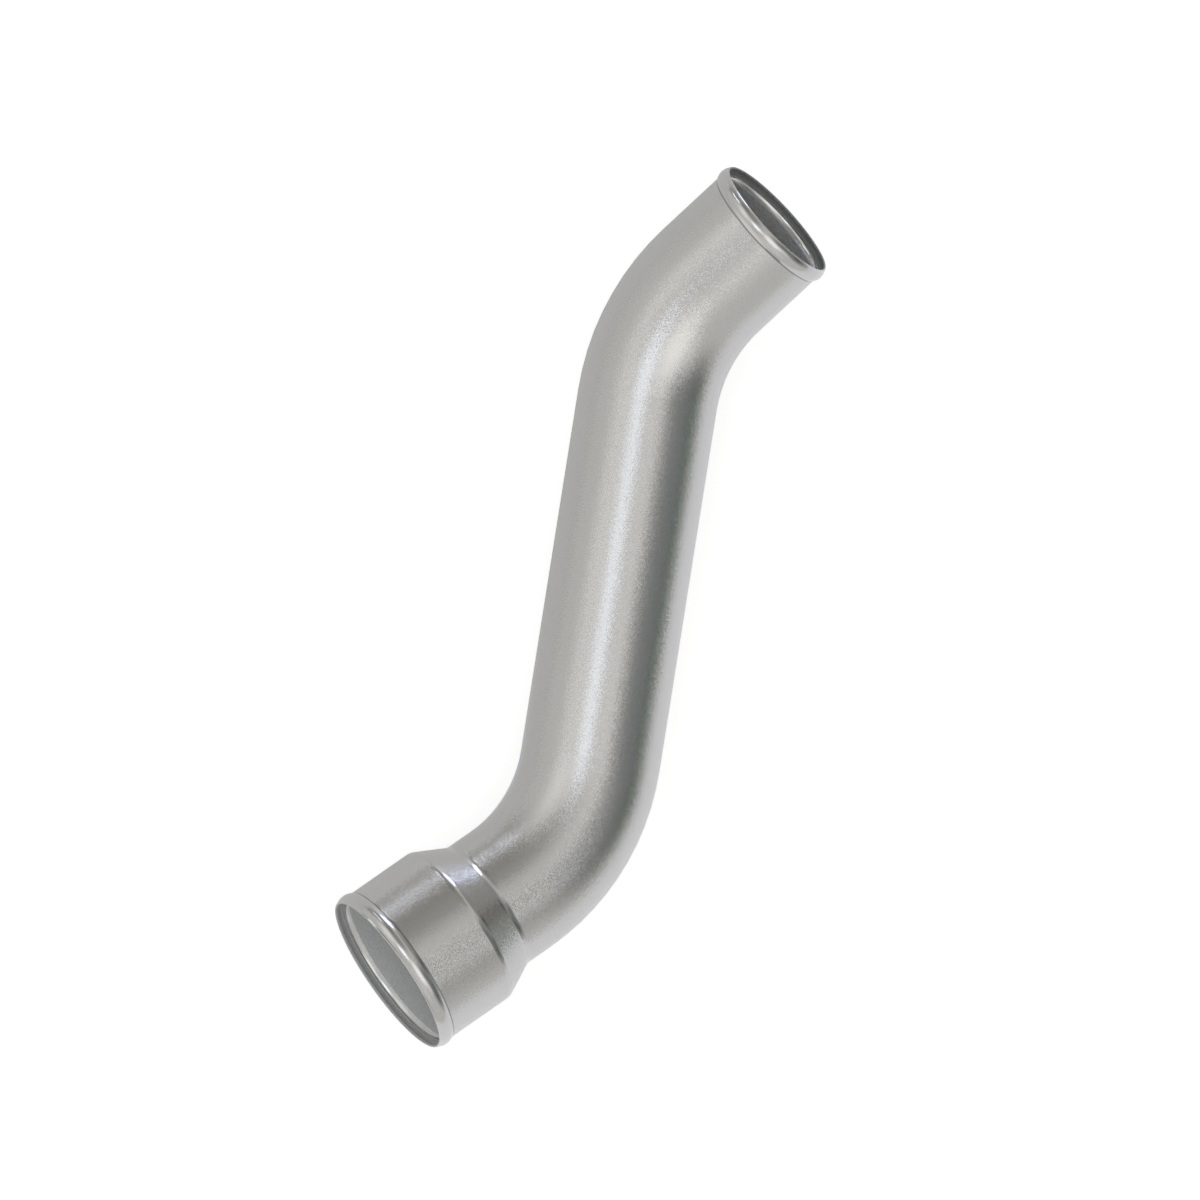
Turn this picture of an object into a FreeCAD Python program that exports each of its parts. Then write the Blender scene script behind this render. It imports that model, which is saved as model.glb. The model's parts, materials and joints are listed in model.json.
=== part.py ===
import FreeCAD, Part
import math
import os
import Sketcher

# An air cleaner tube for an engine bay: one length of thin steel tube, bent twice in different
# planes, opened out at its lower end into a wider cuff, with a rolled hose bead behind each mouth.
# Millimetres and degrees. The tube is drawn with its middle run along X, and then laid down as it
# comes to rest, on its middle run and on the shoulder of its cuff.

SIZES = {
    # The tube and its wall
    "tube_diameter": 101.6,
    "wall": 1.5,
    # The two bends, made on one die, and the turn from one bend's plane to the other's
    "bend_radius": 140.0,
    "lower_bend_angle": 46.5,
    "upper_bend_angle": 41.0,
    "clocking_angle": 142.5,
    # The straight runs between the bends and beyond them
    "middle_run": 265.0,
    "upper_run": 67.5,
    "lower_run": 22.0,
    # The cuff, and the cone that opens the tube out to it, between sharp corners
    "cuff_diameter": 127.0,
    "cuff_length": 65.0,
    "cone_length": 25.0,
    "cone_fillet": 9.0,
    # The rolled beads: crest above the tube, arc, crest to mouth
    "bead_height": 1.9,
    "bead_radius": 8.8,
    "small_bead_setback": 6.2,
    "large_bead_setback": 6.7,
    # The broken edges of both mouths
    "rim_chamfer": 0.4,
}

TUBE_RADIUS = "Sizes.tube_diameter / 2"
BORE_RADIUS = "Sizes.tube_diameter / 2 - Sizes.wall"

# The two end runs, each from its bend to its mouth
LOWER_RUN = {
    "length": "Sizes.lower_run + Sizes.cone_length + Sizes.cuff_length",
    "mouth_radius": "Sizes.cuff_diameter / 2",
    "bead_centre": "Sizes.cuff_diameter / 2 + Sizes.bead_height - Sizes.bead_radius",
    "setback": "Sizes.large_bead_setback",
    "cone": True,
}
UPPER_RUN = {
    "length": "Sizes.upper_run",
    "mouth_radius": TUBE_RADIUS,
    "bead_centre": "Sizes.tube_diameter / 2 + Sizes.bead_height - Sizes.bead_radius",
    "setback": "Sizes.small_bead_setback",
    "cone": False,
}

# Each end run has a frame at the end of its bend, with X along the run and outwards
LOWER_FRAME = (
    "placement(vector(-Sizes.bend_radius * sin(Sizes.lower_bend_angle);"
    " Sizes.bend_radius * (1 - cos(Sizes.lower_bend_angle)); 0);"
    " rotation(vector(0; 0; 1); 180 - Sizes.lower_bend_angle))"
)
UPPER_FRAME = (
    "placement(vector(Sizes.middle_run; 0; 0); rotation(vector(1; 0; 0); Sizes.clocking_angle))"
    " * placement(vector(Sizes.bend_radius * sin(Sizes.upper_bend_angle);"
    " Sizes.bend_radius * (1 - cos(Sizes.upper_bend_angle)); 0);"
    " rotation(vector(0; 0; 1); Sizes.upper_bend_angle))"
)
# The upper bend's section stands across the middle run, at its end, turned into that bend's plane
UPPER_SECTION = "placement(vector(0; 0; Sizes.middle_run); rotation(vector(0; 0; 1); Sizes.clocking_angle))"

# A sketch's own origin, and the points of a line or an arc
ROOT = (-1, 1)
START, END, CENTRE = range(1, 4)


def size_sheet(doc):
    """The driving sizes, one named cell each."""
    sheet = doc.addObject("Spreadsheet::Sheet", "Sizes")
    for row, (name, value) in enumerate(SIZES.items(), start=1):
        sheet.set(f"A{row}", name)
        sheet.set(f"B{row}", str(value))
        sheet.setAlias(f"B{row}", name)
    doc.recompute()
    return sheet


def new_sketch(body, name, role, frame=None):
    """An empty sketch on one of the body's origin planes, carried along by a frame."""
    sketch = body.newObject("Sketcher::SketchObject", name)
    plane = next(item for item in body.Origin.OriginFeatures if item.Role == role)
    sketch.AttachmentSupport = (plane, "")
    sketch.MapMode = "FlatFace"
    if frame:
        sketch.setExpression("AttachmentOffset", frame)
    return sketch


def value(sketch, formula):
    """What a formula of the sizes comes to."""
    return float(sketch.evalExpression(formula))


def hold(sketch, kind, *places, formula):
    """A driving dimension, tied to the sizes."""
    index = sketch.addConstraint(Sketcher.Constraint(kind, *places, value(sketch, formula)))
    sketch.setExpression(f"Constraints[{index}]", formula)


def tie(sketch, kind, *places):
    """A geometric constraint."""
    sketch.addConstraint(Sketcher.Constraint(kind, *places))


def add_line(sketch, first, last):
    """A line, as its number and the points it starts and ends at."""
    shape = Part.LineSegment(FreeCAD.Vector(*first), FreeCAD.Vector(*last))
    return sketch.addGeometry(shape), START, END


def add_arc(sketch, centre, radius, first, last):
    """An arc from its first angle to its last, as its number and the points it starts and ends at."""
    circle = Part.Circle(FreeCAD.Vector(*centre), FreeCAD.Vector(0, 0, 1), radius)
    low, high = sorted((math.radians(first), math.radians(last)))
    number = sketch.addGeometry(Part.ArcOfCircle(circle, low, high))
    return (number, START, END) if first < last else (number, END, START)


def section_sketch(body, name, frame=None):
    """The tube's round section, with its bore, and the axis of the bend that starts there."""
    sketch = new_sketch(body, name, "YZ_Plane", frame)
    for formula in (TUBE_RADIUS, BORE_RADIUS):
        radius = value(sketch, formula)
        circle = sketch.addGeometry(Part.Circle(FreeCAD.Vector(), FreeCAD.Vector(0, 0, 1), radius))
        tie(sketch, "Coincident", circle, CENTRE, *ROOT)
        hold(sketch, "Radius", circle, formula=formula)
    across = value(sketch, "Sizes.bend_radius")
    low, high = FreeCAD.Vector(across, -radius), FreeCAD.Vector(across, radius)
    axis = sketch.addGeometry(Part.LineSegment(low, high), True)
    tie(sketch, "Symmetric", axis, START, axis, END, ROOT[0])
    hold(sketch, "DistanceX", *ROOT, axis, START, formula="Sizes.bend_radius")
    hold(sketch, "DistanceY", *ROOT, axis, END, formula=BORE_RADIUS)
    return sketch


def cone_path(sketch, tube, mouth, depth):
    """One side of the lower run's straight and its cone, and where the cuff starts on that side."""
    first = value(sketch, "Sizes.lower_run")
    last = first + value(sketch, "Sizes.cone_length")
    fillet = value(sketch, "Sizes.cone_fillet")
    slope = math.atan2(mouth - tube, last - first)
    cut = fillet * math.tan(slope / 2)
    across, along = math.cos(slope), math.sin(slope)
    toe_arc, shoulder_arc = fillet + depth, fillet - depth
    toe, shoulder = (first - cut, tube + toe_arc), (last + cut, mouth - shoulder_arc)
    lean = math.degrees(slope)
    return [
        add_line(sketch, (0, tube), (toe[0], tube)),
        add_arc(sketch, toe, toe_arc, -90, lean - 90),
        add_line(sketch, (toe[0] + toe_arc * along, toe[1] - toe_arc * across),
                 (shoulder[0] - shoulder_arc * along, shoulder[1] + shoulder_arc * across)),
        add_arc(sketch, shoulder, shoulder_arc, 90 + lean, 90),
    ], (shoulder[0], mouth)


def wall_side(sketch, run, depth):
    """One side of an end run's wall, from the bend to the mouth, at a depth below the outside."""
    tube = value(sketch, TUBE_RADIUS) - depth
    mouth = value(sketch, run["mouth_radius"]) - depth
    end = value(sketch, run["length"])
    path, start = cone_path(sketch, tube, mouth, depth) if run["cone"] else ([], (0, tube))
    crest = end - value(sketch, run["setback"])
    centre = value(sketch, run["bead_centre"])
    radius = value(sketch, "Sizes.bead_radius") - depth
    reach = math.sqrt(radius ** 2 - (mouth - centre) ** 2)
    lean = math.degrees(math.acos((mouth - centre) / radius))
    return path + [
        add_line(sketch, start, (crest - reach, mouth)),
        add_arc(sketch, (crest, centre), radius, 90 + lean, 90 - lean),
        add_line(sketch, (crest + reach, mouth), (end, mouth)),
    ]


def hold_cone(sketch, run, outside, inside, mouth_face):
    """Hold the cone by the sharp corners that its fillets round off, and both sides alike."""
    straight, toe_arc, flare, shoulder_arc, cuff = (number for number, _, _ in outside[:5])
    corners = []
    for level, corner_end in ((straight, END), (cuff, START)):
        near = sketch.getPoint(level, corner_end)
        corners.append(sketch.addGeometry(Part.Point(near), True))
        for side in (level, flare):
            tie(sketch, "PointOnObject", corners[-1], START, side)
    hold(sketch, "DistanceX", *ROOT, corners[0], START, formula="Sizes.lower_run")
    hold(sketch, "DistanceX", corners[0], START, corners[1], START, formula="Sizes.cone_length")
    tie(sketch, "Equal", toe_arc, shoulder_arc)
    hold(sketch, "Radius", toe_arc, formula="Sizes.cone_fillet")
    for outer, inner in ((outside[1], inside[1]), (outside[3], inside[3])):
        tie(sketch, "Coincident", inner[0], CENTRE, outer[0], CENTRE)
    hold(sketch, "DistanceY", *ROOT, mouth_face, START, formula=run["mouth_radius"])
    hold(sketch, "DistanceY", mouth_face, END, mouth_face, START, formula="Sizes.wall")


def run_sketch(body, name, frame, run):
    """The wall of an end run with its bead, cut lengthwise along the run's axis."""
    sketch = new_sketch(body, name, "XY_Plane", frame)
    wall = value(sketch, "Sizes.wall")
    outside, inside = wall_side(sketch, run, 0), wall_side(sketch, run, wall)
    levels = [number for number, item in enumerate(sketch.Geometry)
              if isinstance(item, Part.LineSegment) and abs(item.StartPoint.y - item.EndPoint.y) < 1e-6]
    tube, mouth, end = (value(sketch, item) for item in (TUBE_RADIUS, run["mouth_radius"], run["length"]))
    mouth_face, bend_face = (
        add_line(sketch, (end, mouth), (end, mouth - wall)),
        add_line(sketch, (0, tube - wall), (0, tube)),
    )

    back = [(number, last, first) for number, first, last in reversed(inside)]
    loop = [*outside, mouth_face, *back, bend_face]
    fillets = {side[index][0] for side in (outside, inside) for index in (1, 3) if run["cone"]}
    for (first, _, last_point), (second, first_point, _) in zip(loop, loop[1:] + loop[:1]):
        joint = "Tangent" if fillets & {first, second} else "Coincident"
        tie(sketch, joint, first, last_point, second, first_point)
    for number in levels:
        tie(sketch, "Horizontal", number)
    for number in (mouth_face[0], bend_face[0]):
        tie(sketch, "Vertical", number)
    tie(sketch, "Vertical", *ROOT, bend_face[0], END)
    hold(sketch, "DistanceY", *ROOT, bend_face[0], END, formula=TUBE_RADIUS)
    hold(sketch, "DistanceY", bend_face[0], START, bend_face[0], END, formula="Sizes.wall")
    hold(sketch, "DistanceX", *ROOT, mouth_face[0], START, formula=run["length"])

    bead, groove = outside[-2][0], inside[-2][0]
    for number in (bead, groove):
        tie(sketch, "Horizontal", number, START, number, END)
    tie(sketch, "Coincident", groove, CENTRE, bead, CENTRE)
    hold(sketch, "Radius", bead, formula="Sizes.bead_radius")
    hold(sketch, "Radius", groove, formula="Sizes.bead_radius - Sizes.wall")
    hold(sketch, "DistanceX", bead, CENTRE, mouth_face[0], START, formula=run["setback"])
    hold(sketch, "DistanceY", *ROOT, bead, CENTRE, formula=run["bead_centre"])
    if run["cone"]:
        hold_cone(sketch, run, outside, inside, mouth_face[0])
    return sketch


def revolve(body, name, sketch, axis, angle=None, backwards=False):
    """A sketch swept about one of its own axes, a whole turn unless an angle is given."""
    feature = body.newObject("PartDesign::Revolution", name)
    feature.Profile = (sketch, [""])
    feature.ReferenceAxis = (sketch, [axis])
    feature.Reversed = backwards
    if angle:
        feature.setExpression("Angle", angle)
    body.Document.recompute()
    return feature


def mouth_edges(shape):
    """The names of the round edges of both mouths, outside and inside."""
    mouths = [face for face in shape.Faces if isinstance(face.Surface, Part.Plane)]
    edges = enumerate(shape.Edges, start=1)
    return [f"Edge{number}" for number, edge in edges
            if any(edge.isSame(side) for mouth in mouths for side in mouth.Edges)]


def tube_body(doc):
    """The whole tube as one body: its wall carried along the runs and round the bends."""
    body = doc.addObject("PartDesign::Body", "AirCleanerTube")
    body.Label = "air_cleaner_tube"

    lower_section = section_sketch(body, "LowerSection")
    middle = body.newObject("PartDesign::Pad", "MiddleRun")
    middle.Profile = (lower_section, [""])
    middle.setExpression("Length", "Sizes.middle_run")
    doc.recompute()
    revolve(body, "LowerBend", lower_section, "Axis0", "Sizes.lower_bend_angle", backwards=True)
    upper_section = section_sketch(body, "UpperSection", UPPER_SECTION)
    revolve(body, "UpperBend", upper_section, "Axis0", "Sizes.upper_bend_angle")

    lower_wall = run_sketch(body, "LowerRunWall", LOWER_FRAME, LOWER_RUN)
    revolve(body, "LowerRun", lower_wall, "H_Axis")
    upper_wall = run_sketch(body, "UpperRunWall", UPPER_FRAME, UPPER_RUN)
    open_tube = revolve(body, "UpperRun", upper_wall, "H_Axis")

    rims = body.newObject("PartDesign::Chamfer", "RimChamfers")
    rims.Base = (open_tube, mouth_edges(open_tube.Shape))
    rims.setExpression("Size", "Sizes.rim_chamfer")
    doc.recompute()
    return body


def roll_to_touch(sizes, station, crest_radius, arc_radius):
    """How far the tube rolls about its middle run until a rounded ring on the lower run touches.

    The ring is the outside of a round edge: an arc carried round the run at its station, which
    is counted from the bend. Its lowest point is level with the underside of the middle run.
    """
    turn = math.radians(sizes.lower_bend_angle)
    aside = sizes.bend_radius * (1 - math.cos(turn)) + station * math.sin(turn)
    ring = crest_radius - arc_radius
    drop = sizes.tube_diameter / 2 - arc_radius
    spread = aside ** 2 + (ring * math.sin(turn)) ** 2
    root = math.sqrt((aside * drop) ** 2 + spread * (ring ** 2 - drop ** 2))
    return math.degrees(math.asin((root - aside * drop) / spread))


def lay_down(body, sizes):
    """Place the tube as it rests on the floor, with its origin under the middle of its box."""
    cuff, tube = sizes.cuff_diameter / 2, sizes.tube_diameter / 2
    slope = math.atan2(cuff - tube, sizes.cone_length)
    shoulder = sizes.lower_run + sizes.cone_length + sizes.cone_fillet * math.tan(slope / 2)
    crest = sizes.lower_run + sizes.cone_length + sizes.cuff_length - sizes.large_bead_setback
    roll = max(
        roll_to_touch(sizes, shoulder, cuff, sizes.cone_fillet),
        roll_to_touch(sizes, crest, cuff + sizes.bead_height, sizes.bead_radius),
    )
    turned = FreeCAD.Rotation(FreeCAD.Vector(1, 0, 0), roll)
    body.Placement = FreeCAD.Placement(FreeCAD.Vector(), turned)
    middle = body.Shape.optimalBoundingBox().Center
    body.Placement = FreeCAD.Placement(FreeCAD.Vector(-middle.x, -middle.y, tube), turned)


def check(doc, bodies):
    """Stop before anything is written if an object failed or a shape isn't one good solid."""
    for item in doc.Objects:
        if "Invalid" in item.State or "Error" in item.State:
            raise RuntimeError(f"{item.Name} failed: {item.State}")
    for body in bodies:
        shape = body.Shape
        if shape.isNull() or not shape.isValid() or len(shape.Solids) != 1:
            raise RuntimeError(f"{body.Label} is not one valid solid")


def main():
    doc = FreeCAD.newDocument("air_cleaner_tube")
    sizes = size_sheet(doc)
    tube = tube_body(doc)
    lay_down(tube, sizes)
    check(doc, [tube])
    os.makedirs("parts", exist_ok=True)
    tube.Shape.exportStep(os.path.join("parts", f"{tube.Label}.step"))
    box = tube.Shape.optimalBoundingBox()
    print(f"{tube.Label}: {tube.Shape.Volume / 1000:.1f} cm3,"
          f" {box.XLength:.1f} x {box.YLength:.1f} x {box.ZLength:.1f} mm")


main()
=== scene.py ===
import json
import math

import bmesh
import bpy
from mathutils import Matrix, Vector

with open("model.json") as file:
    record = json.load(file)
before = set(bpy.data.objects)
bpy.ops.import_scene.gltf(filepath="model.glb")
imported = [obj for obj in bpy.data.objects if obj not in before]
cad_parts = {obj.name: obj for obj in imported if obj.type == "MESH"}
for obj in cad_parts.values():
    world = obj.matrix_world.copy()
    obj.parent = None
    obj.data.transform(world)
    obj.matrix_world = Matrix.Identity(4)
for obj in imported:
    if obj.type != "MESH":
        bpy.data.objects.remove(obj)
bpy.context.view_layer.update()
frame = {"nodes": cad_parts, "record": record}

# The looks of the air cleaner tube: satin bare steel with a fine even grain, on a white floor,
# under soft studio light. Metres, in the part's own frame, with Z up.

TUBE = frame["nodes"]["air_cleaner_tube"]
MOUNTS = {mount["name"]: mount for mount in frame["record"]["mounts"]}
MILLIMETRE = 0.001

# The photograph's view: parallel, almost from above
VIEW_RIGHT = Vector((0.156031, -0.981787, 0.108395))
VIEW_UP = Vector((0.985529, 0.162098, 0.049570))
FRAME_WIDTH = 0.868838
FRAME_CENTRE_RIGHT = 0.023673
FRAME_CENTRE_UP = 0.007725
CAMERA_DISTANCE = 2.5
CAMERA_REACH = 50.0

# The steel's colours: its two close shades, the bore's, and the painted shade that darkens a crease
STEEL = (0.575, 0.570, 0.565, 1.0)
STEEL_WORN = (0.595, 0.590, 0.583, 1.0)
STEEL_INSIDE = (0.580, 0.592, 0.600, 1.0)
# Painted shade: the dark colour, and how much of it darkens the crease behind each bead
PAINTED_CREASE_SHADE = (0.16, 0.16, 0.17, 1.0)
PAINTED_CREASE_SHARE = 0.7
STEEL_PATTERN = {"Scale": 14.0, "Detail": 4.0, "Roughness": 0.6}

# Its roughness, what rolling and the bore add to it, and how metallic the bore is
ROUGHNESS = (0.20, 0.23)
ROUGHNESS_PATTERN = {"Scale": 60.0, "Detail": 3.0, "Roughness": 0.5}
BURNISHED_ROUGHNESS = -0.09
INSIDE_ROUGHNESS = 0.20
INSIDE_METALLIC = 0.25

# Its grain: how far it tilts the surface, what the bore adds to that, and how far it changes the shade
GRAIN_PATTERN = {"Scale": 1400.0, "Detail": 2.0, "Roughness": 0.7}
GRAIN_MIDDLE = 0.5
GRAIN_TILT = 0.60
BURNISHED_TILT = 0.15
INSIDE_TILT = 0.4
GRAIN_SHADE = (0.82, 1.18)
INSIDE_GRAIN_SHADE = 1.2

# The outer radius at each end and the wall, from the frame's mounts. The soft edge at the wall's
# middle, and where the cone's turns lie behind the large mouth
TUBE_RADIUS = MOUNTS["small_hose_seat"]["dims"]["r_mm"] * MILLIMETRE
CUFF_RADIUS = MOUNTS["large_hose_seat"]["dims"]["r_mm"] * MILLIMETRE
WALL = TUBE_RADIUS - MOUNTS["small_mouth"]["dims"]["r_mm"] * MILLIMETRE
WALL_EDGE = 0.00025
CONE = (0.065, 0.090)

# The two ends: the mount just inside the mouth, the outer radius, how far behind the mouth the bead's
# crest lies, the other rolled turns, the painted shade of the small bore and the painted light of the
# large one, and where the straight part ends
MOUNT_INSET = 1.0 * MILLIMETRE
SMALL_END = {
    "mount": MOUNTS["small_mouth"],
    "radius": TUBE_RADIUS,
    "crest": 0.0062,
    "turns": (),
    "painted_shading": 0.69,
    "straight": 0.067,
}
LARGE_END = {
    "mount": MOUNTS["large_mouth"],
    "radius": CUFF_RADIUS,
    "crest": 0.0067,
    "turns": CONE,
    "painted_shading": 1.14,
    "straight": 0.112,
}
# How far behind each mouth the bore's dull finish stays even, before it fades out
INSIDE_EVEN = 0.030

# The beads: half their width, how far the arc's centre lies inside the tube's surface, and the radius
# of the middle of the wall, which parts the groove inside from the bead outside, with its soft edge
BEAD_HALF = 0.0055
BEAD_CENTRE = 0.0069
BEAD_MIDDLE = 0.00805
GROOVE_EDGE = 0.0002

# The groove's bright flank behind the crest, the lip in front of it darkened with painted shade, and the
# crease behind, also darkened with painted shade
FLANK_MIDDLE = 0.0025
FLANK_HALF = 0.0022
FLANK_EDGE = 0.0004
LIP_PAINTED_SHADE = 0.82
LIP_EDGE = 0.001
CREASE_HALF = 0.0002
CREASE_REACH = 0.0009

# Half the width of the cone's two turns, the soft edge of these and the beads, and how far outside
# the surface they count in full and at all
TURN_HALF = 0.0022
TURN_EDGE = 0.002
ROLLED_NEAR = 0.006
ROLLED_FAR = 0.012

# The studio: the world's grey, and its lighter and darker patches, as the way towards the middle,
# the angle of the even part, the angle where it ends, the change, and its tint
WORLD_GREY = (0.70, 0.69, 0.665)
PATCHES = {
    "key": ((0.00, 0.31, 0.95), 3, 18, 1.07, (0.915, 0.985, 1.12)),
    "overhead": ((-0.27, -0.19, 0.94), 8, 26, 0.66, (1.0, 0.99, 0.95)),
    "near_wall": ((-0.77, 0.10, 0.62), 13, 32, 0.12, (1.0, 1.0, 1.0)),
    "left_window": ((0.31, 0.66, 0.68), 4, 28, 0.34, (1.0, 1.0, 0.97)),
    "left_wall": ((0.03, 0.77, 0.64), 10, 20, 0.08, (1.0, 0.96, 0.90)),
    "left_low": ((-0.62, 0.78, 0.02), 14, 42, 0.27, (1.0, 1.0, 1.0)),
    "dark_right": ((0.01, -0.80, 0.60), 8, 40, -0.46, (1.0, 0.95, 0.90)),
    "right_glow": ((-0.30, -0.61, 0.73), 3, 21, 0.42, (1.0, 0.98, 0.95)),
    "dark_low": ((0.10, -0.99, 0.02), 12, 27, -0.29, (1.0, 0.90, 0.93)),
    "dark_low_left": ((-0.28, -0.94, 0.20), 4, 20, -0.22, (1.0, 1.0, 1.0)),
    "dark_low_right": ((0.52, -0.83, 0.22), 4, 16, -0.24, (1.0, 1.0, 1.0)),
    "dark_corner": ((0.75, -0.61, 0.25), 12, 36, -0.34, (1.0, 0.98, 0.95)),
    "dark_top": ((0.60, 0.16, 0.78), 8, 30, -0.33, (1.0, 1.0, 1.0)),
    "dark_side": ((0.85, 0.33, 0.41), 6, 25, -0.28, (1.0, 1.0, 1.0)),
    "dark_far": ((0.84, 0.53, 0.06), 8, 24, -0.28, (1.0, 1.0, 1.0)),
}
# Its two lamps, one round and one tall: towards, shape, width, height, radiance, colour
LAMP_DISTANCE = 4.0
LAMPS = {
    "rim": ((0.98, 0.00, 0.18), "DISK", 1.70, 1.70, 1.75, (0.82, 0.92, 1.26)),
    "side": ((0.80, 0.53, 0.30), "RECTANGLE", 0.40, 1.40, 1.50, (0.92, 0.98, 1.10)),
}

# Plain white, behind the object and in the floor's own light
WHITE = (1.0, 1.0, 1.0, 1.0)

# The floor: its paint, what it adds of its own to the eye, and the painted light it adds in reflections
# only, weaker on its darker side and stronger on its lighter side
FLOOR_RADIUS = 0.9
FLOOR_CORNERS = 96
FLOOR_PAINT = (0.72, 0.72, 0.72, 1.0)
FLOOR_SEEN = 0.62
FLOOR_PAINTED_GLOW = (0.12, 0.42)
FLOOR_TOWARDS_PAINTED_LIGHT = (-3.1, -9.5, 0.0)
FLOOR_SIDES = (-0.5, 0.7)
FLOOR_PAINTED_LIGHT_TINT = (0.96, 0.98, 1.06, 1.0)
# Its faint sheen, stronger at a flat angle
FLOOR_SHEEN = 0.7
FLOOR_SHEEN_ROUGHNESS = 0.05
FLOOR_SHEEN_IOR = 1.3


def node(tree, kind, inputs=None, **settings):
    """A new node, with its settings and its unlinked inputs."""
    made = tree.nodes.new(kind)
    for name, setting in settings.items():
        setattr(made, name, setting)
    for name, given in (inputs or {}).items():
        made.inputs[name].default_value = given
    return made


def feed(tree, value, socket):
    """Link another node's output to a socket, or set the socket to a plain value."""
    if isinstance(value, bpy.types.NodeSocket):
        tree.links.new(value, socket)
    else:
        socket.default_value = value


def new_tree(owner):
    owner.use_nodes = True
    owner.node_tree.nodes.clear()
    return owner.node_tree


def combine(tree, operation, *values):
    """A sum, product or other operation on numbers."""
    made = node(tree, "ShaderNodeMath", operation=operation)
    for value, socket in zip(values, made.inputs):
        feed(tree, value, socket)
    return made.outputs["Value"]


def vector(tree, operation, first, second=None):
    """An operation on a vector, with its second input where it has one."""
    made = node(tree, "ShaderNodeVectorMath", operation=operation)
    feed(tree, first, made.inputs[0])
    if second is not None:
        feed(tree, second, made.inputs["Scale" if operation == "SCALE" else 1])
    gives_number = operation in ("DOT_PRODUCT", "LENGTH", "DISTANCE")
    return made.outputs["Value" if gives_number else "Vector"]


def ramp(tree, value, start, end, none=0.0, full=1.0, kind="LINEAR"):
    """A number that goes from none to full while the value goes from the start to the end."""
    span = {"From Min": start, "From Max": end, "To Min": none, "To Max": full}
    made = node(tree, "ShaderNodeMapRange", span, interpolation_type=kind)
    feed(tree, value, made.inputs["Value"])
    return made.outputs["Result"]


def blend(tree, share, none, full):
    """A number that goes from none to full with the share."""
    return ramp(tree, share, 0.0, 1.0, none, full)


def mixed(tree, share, none, full):
    """A colour that goes from none to full with the share."""
    made = node(tree, "ShaderNodeMix", data_type="RGBA")
    feed(tree, share, made.inputs["Factor"])
    feed(tree, none, made.inputs["A"])
    feed(tree, full, made.inputs["B"])
    return made.outputs["Result"]


def rest_of(tree, share):
    """What a share leaves over."""
    return combine(tree, "SUBTRACT", 1.0, share)


def changed(tree, value, share, change):
    """A number with a share of a change added."""
    return combine(tree, "ADD", value, combine(tree, "MULTIPLY", share, change))


def near(tree, value, middle, inner, outer):
    """One within inner of the middle, fading to nothing at outer."""
    gap = combine(tree, "ABSOLUTE", combine(tree, "SUBTRACT", value, middle))
    return ramp(tree, gap, outer, inner, kind="SMOOTHSTEP")


def noise(tree, place, pattern):
    """A noise pattern in the object's own space."""
    made = node(tree, "ShaderNodeTexNoise", pattern)
    feed(tree, place, made.inputs["Vector"])
    return made


def shader_mix(tree, share, first, second):
    made = node(tree, "ShaderNodeMixShader")
    feed(tree, share, made.inputs["Fac"])
    feed(tree, first, made.inputs[1])
    feed(tree, second, made.inputs[2])
    return made.outputs["Shader"]


def ring_place(tree, place, end):
    """How far the shaded point lies behind a mouth, and how far from that end's axis."""
    axis = Vector(end["mount"]["axis"])
    mouth = Vector(end["mount"]["pos_m"]) + axis * MOUNT_INSET
    offset = vector(tree, "SUBTRACT", place, mouth)
    behind = vector(tree, "DOT_PRODUCT", offset, -axis)
    out = vector(tree, "LENGTH", vector(tree, "CROSS_PRODUCT", offset, axis))
    return behind, out


def within_wall(tree, behind, out, radius):
    """One inside the middle of the wall, which narrows along the cone to the tube's own radius."""
    middle = ramp(tree, behind, *CONE, radius - WALL / 2, TUBE_RADIUS - WALL / 2)
    inward = combine(tree, "SUBTRACT", middle, out)
    return ramp(tree, inward, -WALL_EDGE, WALL_EDGE)


def dull_groove(tree, behind, out, end):
    """One in the groove inside a bead, apart from its bright flank."""
    point = node(tree, "ShaderNodeCombineXYZ")
    feed(tree, behind, point.inputs["X"])
    feed(tree, out, point.inputs["Y"])
    centre = (end["crest"], end["radius"] - BEAD_CENTRE, 0.0)
    reach = vector(tree, "DISTANCE", point.outputs["Vector"], centre)
    groove = near(tree, reach, 0.0, BEAD_MIDDLE - GROOVE_EDGE, BEAD_MIDDLE + GROOVE_EDGE)
    flank = near(tree, behind, end["crest"] + FLANK_MIDDLE, FLANK_HALF, FLANK_HALF + FLANK_EDGE)
    return combine(tree, "MULTIPLY", groove, rest_of(tree, flank))


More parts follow.
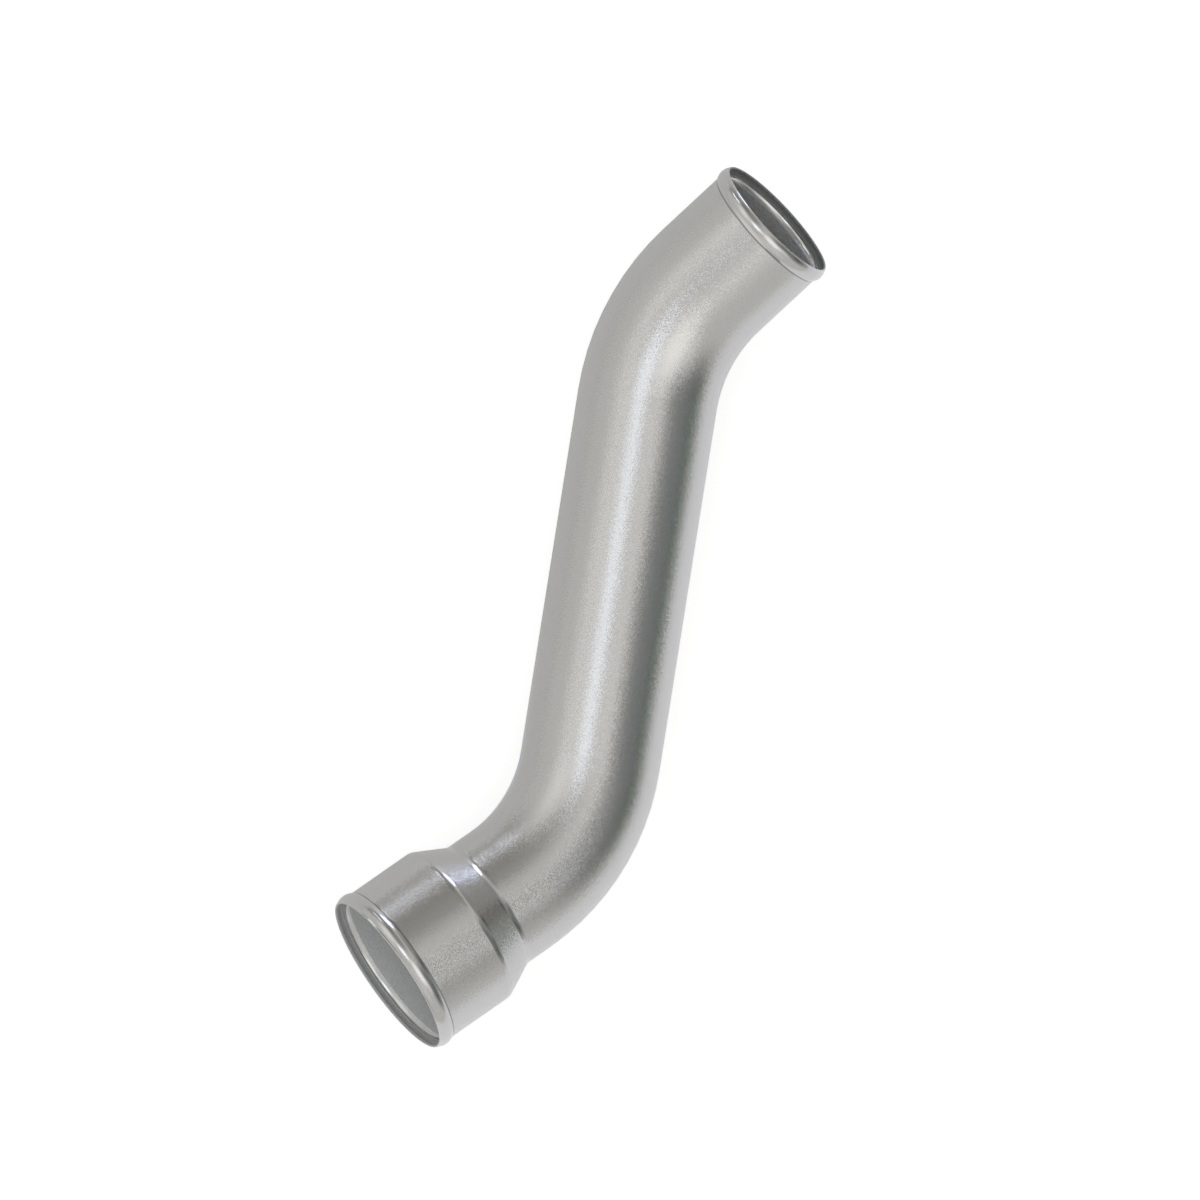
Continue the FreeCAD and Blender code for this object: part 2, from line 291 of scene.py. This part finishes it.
def end_masks(tree, place):
    """Where the bore is, where rolling burnished the steel, the beads' creases, and the painted shade
    and light of each bore and lip.
    """
    inside, burnished, creases = [], [], []
    painted_shading = 1.0
    for end in (SMALL_END, LARGE_END):
        behind, out = ring_place(tree, place, end)
        radius, crest = end["radius"], end["crest"]
        bore = within_wall(tree, behind, out, radius)
        hollow = combine(tree, "MAXIMUM", bore, dull_groove(tree, behind, out, end))
        dull = near(tree, behind, 0.0, INSIDE_EVEN, end["straight"])
        inside.append(combine(tree, "MULTIPLY", hollow, dull))
        # Painted shade and light: the small bore's colour is darkened and the large bore's lightened
        painted_shading = combine(tree, "MULTIPLY", painted_shading, blend(tree, inside[-1], 1.0, end["painted_shading"]))
        # Painted shade: the lip inside each mouth is darkened in the colour
        lip = near(tree, behind, 0.0, crest - LIP_EDGE, crest + LIP_EDGE)
        lip = combine(tree, "MULTIPLY", inside[-1], lip)
        painted_shading = combine(tree, "MULTIPLY", painted_shading, blend(tree, lip, 1.0, LIP_PAINTED_SHADE))

        close = near(tree, out, 0.0, radius + ROLLED_NEAR, radius + ROLLED_FAR)
        turns = [(crest, BEAD_HALF)] + [(turn, TURN_HALF) for turn in end["turns"]]
        for middle, half in turns:
            ring = near(tree, behind, middle, half, half + TURN_EDGE)
            ring = combine(tree, "MULTIPLY", ring, rest_of(tree, hollow))
            burnished.append(combine(tree, "MULTIPLY", ring, close))
        # Painted shade: a thin ring at each bead's foot, where the crease is darkened in the colour
        ring = near(tree, behind, crest + BEAD_HALF, CREASE_HALF, CREASE_REACH)
        creases.append(combine(tree, "MULTIPLY", ring, close))
    masks = []
    for group in (inside, burnished, creases):
        total = group[0]
        for mask in group[1:]:
            total = combine(tree, "MAXIMUM", total, mask)
        masks.append(total)
    outside = rest_of(tree, masks[0])
    burnished, creases = (combine(tree, "MULTIPLY", mask, outside) for mask in masks[1:])
    return masks[0], burnished, creases, painted_shading


def steel_colour(tree, place, grain, inside, creases, painted_shading):
    """The steel's two close shades, the bore's own, painted shade in the creases and lips, painted shade
    and light in the bores, and the flecks.
    """
    colour = mixed(tree, noise(tree, place, STEEL_PATTERN).outputs["Fac"], STEEL, STEEL_WORN)
    colour = mixed(tree, inside, colour, STEEL_INSIDE)
    # Painted shade darkens the creases behind the beads
    colour = mixed(tree, combine(tree, "MULTIPLY", creases, PAINTED_CREASE_SHARE), colour, PAINTED_CREASE_SHADE)
    fleck = blend(tree, grain.outputs["Fac"], *GRAIN_SHADE)
    speck = combine(tree, "SUBTRACT", grain.outputs["Fac"], GRAIN_MIDDLE)
    speck = combine(tree, "MULTIPLY", speck, INSIDE_GRAIN_SHADE)
    fleck = changed(tree, fleck, inside, speck)
    # The colour is scaled here by the painted shade and light of the bores and lips
    return vector(tree, "SCALE", colour, combine(tree, "MULTIPLY", fleck, painted_shading))


def steel_roughness(tree, place, inside, burnished):
    """Small changes of gloss, smoother where the steel was rolled and duller in the bore."""
    roughness = blend(tree, noise(tree, place, ROUGHNESS_PATTERN).outputs["Fac"], *ROUGHNESS)
    roughness = changed(tree, roughness, burnished, BURNISHED_ROUGHNESS)
    return changed(tree, roughness, inside, INSIDE_ROUGHNESS)


def grain_normal(tree, grain, inside, burnished):
    """The surface's own normal, tilted from speck to speck."""
    tilt = vector(tree, "SUBTRACT", grain.outputs["Color"], (GRAIN_MIDDLE,) * 3)
    depth = blend(tree, burnished, GRAIN_TILT, BURNISHED_TILT)
    tilt = vector(tree, "SCALE", tilt, changed(tree, depth, inside, INSIDE_TILT))
    normal = node(tree, "ShaderNodeNewGeometry").outputs["Normal"]
    return vector(tree, "NORMALIZE", vector(tree, "ADD", normal, tilt))


def steel():
    """Satin steel: an even fine grain that sparkles, smoother where the beads and cone were rolled."""
    material = bpy.data.materials.new("satin_steel")
    tree = new_tree(material)
    place = node(tree, "ShaderNodeTexCoord").outputs["Object"]
    grain = noise(tree, place, GRAIN_PATTERN)
    inside, burnished, creases, painted_shading = end_masks(tree, place)
    shader = node(tree, "ShaderNodeBsdfPrincipled")
    colour = steel_colour(tree, place, grain, inside, creases, painted_shading)
    feed(tree, colour, shader.inputs["Base Color"])
    feed(tree, steel_roughness(tree, place, inside, burnished), shader.inputs["Roughness"])
    feed(tree, blend(tree, inside, 1.0, INSIDE_METALLIC), shader.inputs["Metallic"])
    feed(tree, grain_normal(tree, grain, inside, burnished), shader.inputs["Normal"])
    output = node(tree, "ShaderNodeOutputMaterial")
    feed(tree, shader.outputs["BSDF"], output.inputs["Surface"])
    return material


def seen_directly(tree, path):
    """One where the eye sees this, straight or through something clear."""
    return combine(tree, "MAXIMUM", path.outputs["Is Camera Ray"], path.outputs["Is Transmission Ray"])


def floor_material():
    """Pale floor that shows white to the eye and a painted glow in the metal, stronger on one side, and
    keeps the tube's shadow.
    """
    material = bpy.data.materials.new("white_floor")
    tree = new_tree(material)
    path = node(tree, "ShaderNodeLightPath")
    place = node(tree, "ShaderNodeTexCoord").outputs["Object"]
    # Painted light: in reflections the floor glows more on one side, as if lit from there
    across = vector(tree, "DOT_PRODUCT", place, FLOOR_TOWARDS_PAINTED_LIGHT)
    painted_lit_side = ramp(tree, across, *FLOOR_SIDES, kind="SMOOTHSTEP")
    mirrored = blend(tree, painted_lit_side, *FLOOR_PAINTED_GLOW)
    glossy = combine(tree, "MULTIPLY", path.outputs["Is Glossy Ray"], mirrored)
    strength = combine(tree, "MULTIPLY_ADD", seen_directly(tree, path), FLOOR_SEEN, glossy)
    cool = combine(tree, "MULTIPLY", path.outputs["Is Glossy Ray"], painted_lit_side)
    glow = node(tree, "ShaderNodeEmission")
    feed(tree, mixed(tree, cool, WHITE, FLOOR_PAINTED_LIGHT_TINT), glow.inputs["Color"])
    feed(tree, strength, glow.inputs["Strength"])
    paint = node(tree, "ShaderNodeBsdfDiffuse", {"Color": FLOOR_PAINT})
    both = node(tree, "ShaderNodeAddShader")
    feed(tree, glow.outputs["Emission"], both.inputs[0])
    feed(tree, paint.outputs["BSDF"], both.inputs[1])
    sheen = node(tree, "ShaderNodeBsdfGlossy", {"Roughness": FLOOR_SHEEN_ROUGHNESS})
    facing = node(tree, "ShaderNodeFresnel", {"IOR": FLOOR_SHEEN_IOR})
    share = combine(tree, "MULTIPLY", facing.outputs["Fac"], FLOOR_SHEEN)
    surface = shader_mix(tree, share, both.outputs["Shader"], sheen.outputs["BSDF"])
    output = node(tree, "ShaderNodeOutputMaterial")
    feed(tree, surface, output.inputs["Surface"])
    return material


def make_floor():
    mesh = bpy.data.meshes.new("floor")
    shape = bmesh.new()
    bmesh.ops.create_circle(shape, cap_ends=True, segments=FLOOR_CORNERS, radius=FLOOR_RADIUS)
    shape.to_mesh(mesh)
    shape.free()
    mesh.materials.append(floor_material())
    floor = bpy.data.objects.new("floor", mesh)
    bpy.context.scene.collection.objects.link(floor)


def make_world():
    """Soft light from all round, with the patches in it, and plain white behind the object."""
    world = bpy.data.worlds.new("studio")
    bpy.context.scene.world = world
    tree = new_tree(world)
    towards = node(tree, "ShaderNodeTexCoord").outputs["Generated"]
    total = WORLD_GREY
    for direction, inner, outer, strength, tint in PATCHES.values():
        along = vector(tree, "DOT_PRODUCT", towards, Vector(direction).normalized())
        angle = combine(tree, "ARCCOSINE", along)
        share = ramp(tree, angle, math.radians(outer), math.radians(inner), kind="SMOOTHSTEP")
        total = vector(tree, "ADD", total, vector(tree, "SCALE", Vector(tint) * strength, share))
    lit = node(tree, "ShaderNodeBackground")
    feed(tree, total, lit.inputs["Color"])
    white = node(tree, "ShaderNodeBackground", {"Color": WHITE})
    seen = seen_directly(tree, node(tree, "ShaderNodeLightPath"))
    choice = shader_mix(tree, seen, lit.outputs["Background"], white.outputs["Background"])
    output = node(tree, "ShaderNodeOutputWorld")
    feed(tree, choice, output.inputs["Surface"])


def make_lamps():
    """Area lamps that face the part, with the power that gives each one its radiance."""
    for name, (direction, shape, width, height, radiance, colour) in LAMPS.items():
        light = bpy.data.lights.new(name, "AREA")
        light.shape = shape
        light.size = width
        light.size_y = height
        area = math.pi * width ** 2 / 4 if shape == "DISK" else width * height
        light.energy = radiance * math.pi * area
        light.color = colour
        lamp = bpy.data.objects.new(name, light)
        towards = Vector(direction).normalized()
        lamp.location = towards * LAMP_DISTANCE
        lamp.rotation_mode = "QUATERNION"
        lamp.rotation_quaternion = (-towards).to_track_quat("-Z", "Y")
        lamp.visible_camera = False
        bpy.context.scene.collection.objects.link(lamp)


def make_camera():
    """A parallel camera at the photograph's angle, with its frame."""
    camera = bpy.data.cameras.new("camera")
    camera.type = "ORTHO"
    camera.ortho_scale = FRAME_WIDTH
    camera.clip_end = CAMERA_REACH
    holder = bpy.data.objects.new("camera", camera)
    back = VIEW_RIGHT.cross(VIEW_UP).normalized()
    turned = Matrix((VIEW_RIGHT, VIEW_UP, back)).transposed().to_4x4()
    middle = VIEW_RIGHT * FRAME_CENTRE_RIGHT + VIEW_UP * FRAME_CENTRE_UP
    holder.matrix_world = Matrix.Translation(middle + back * CAMERA_DISTANCE) @ turned
    bpy.context.scene.collection.objects.link(holder)
    bpy.context.scene.camera = holder


TUBE.data.materials.clear()
TUBE.data.materials.append(steel())
make_floor()
make_world()
make_lamps()
make_camera()
bpy.context.scene.view_settings.view_transform = "Standard"
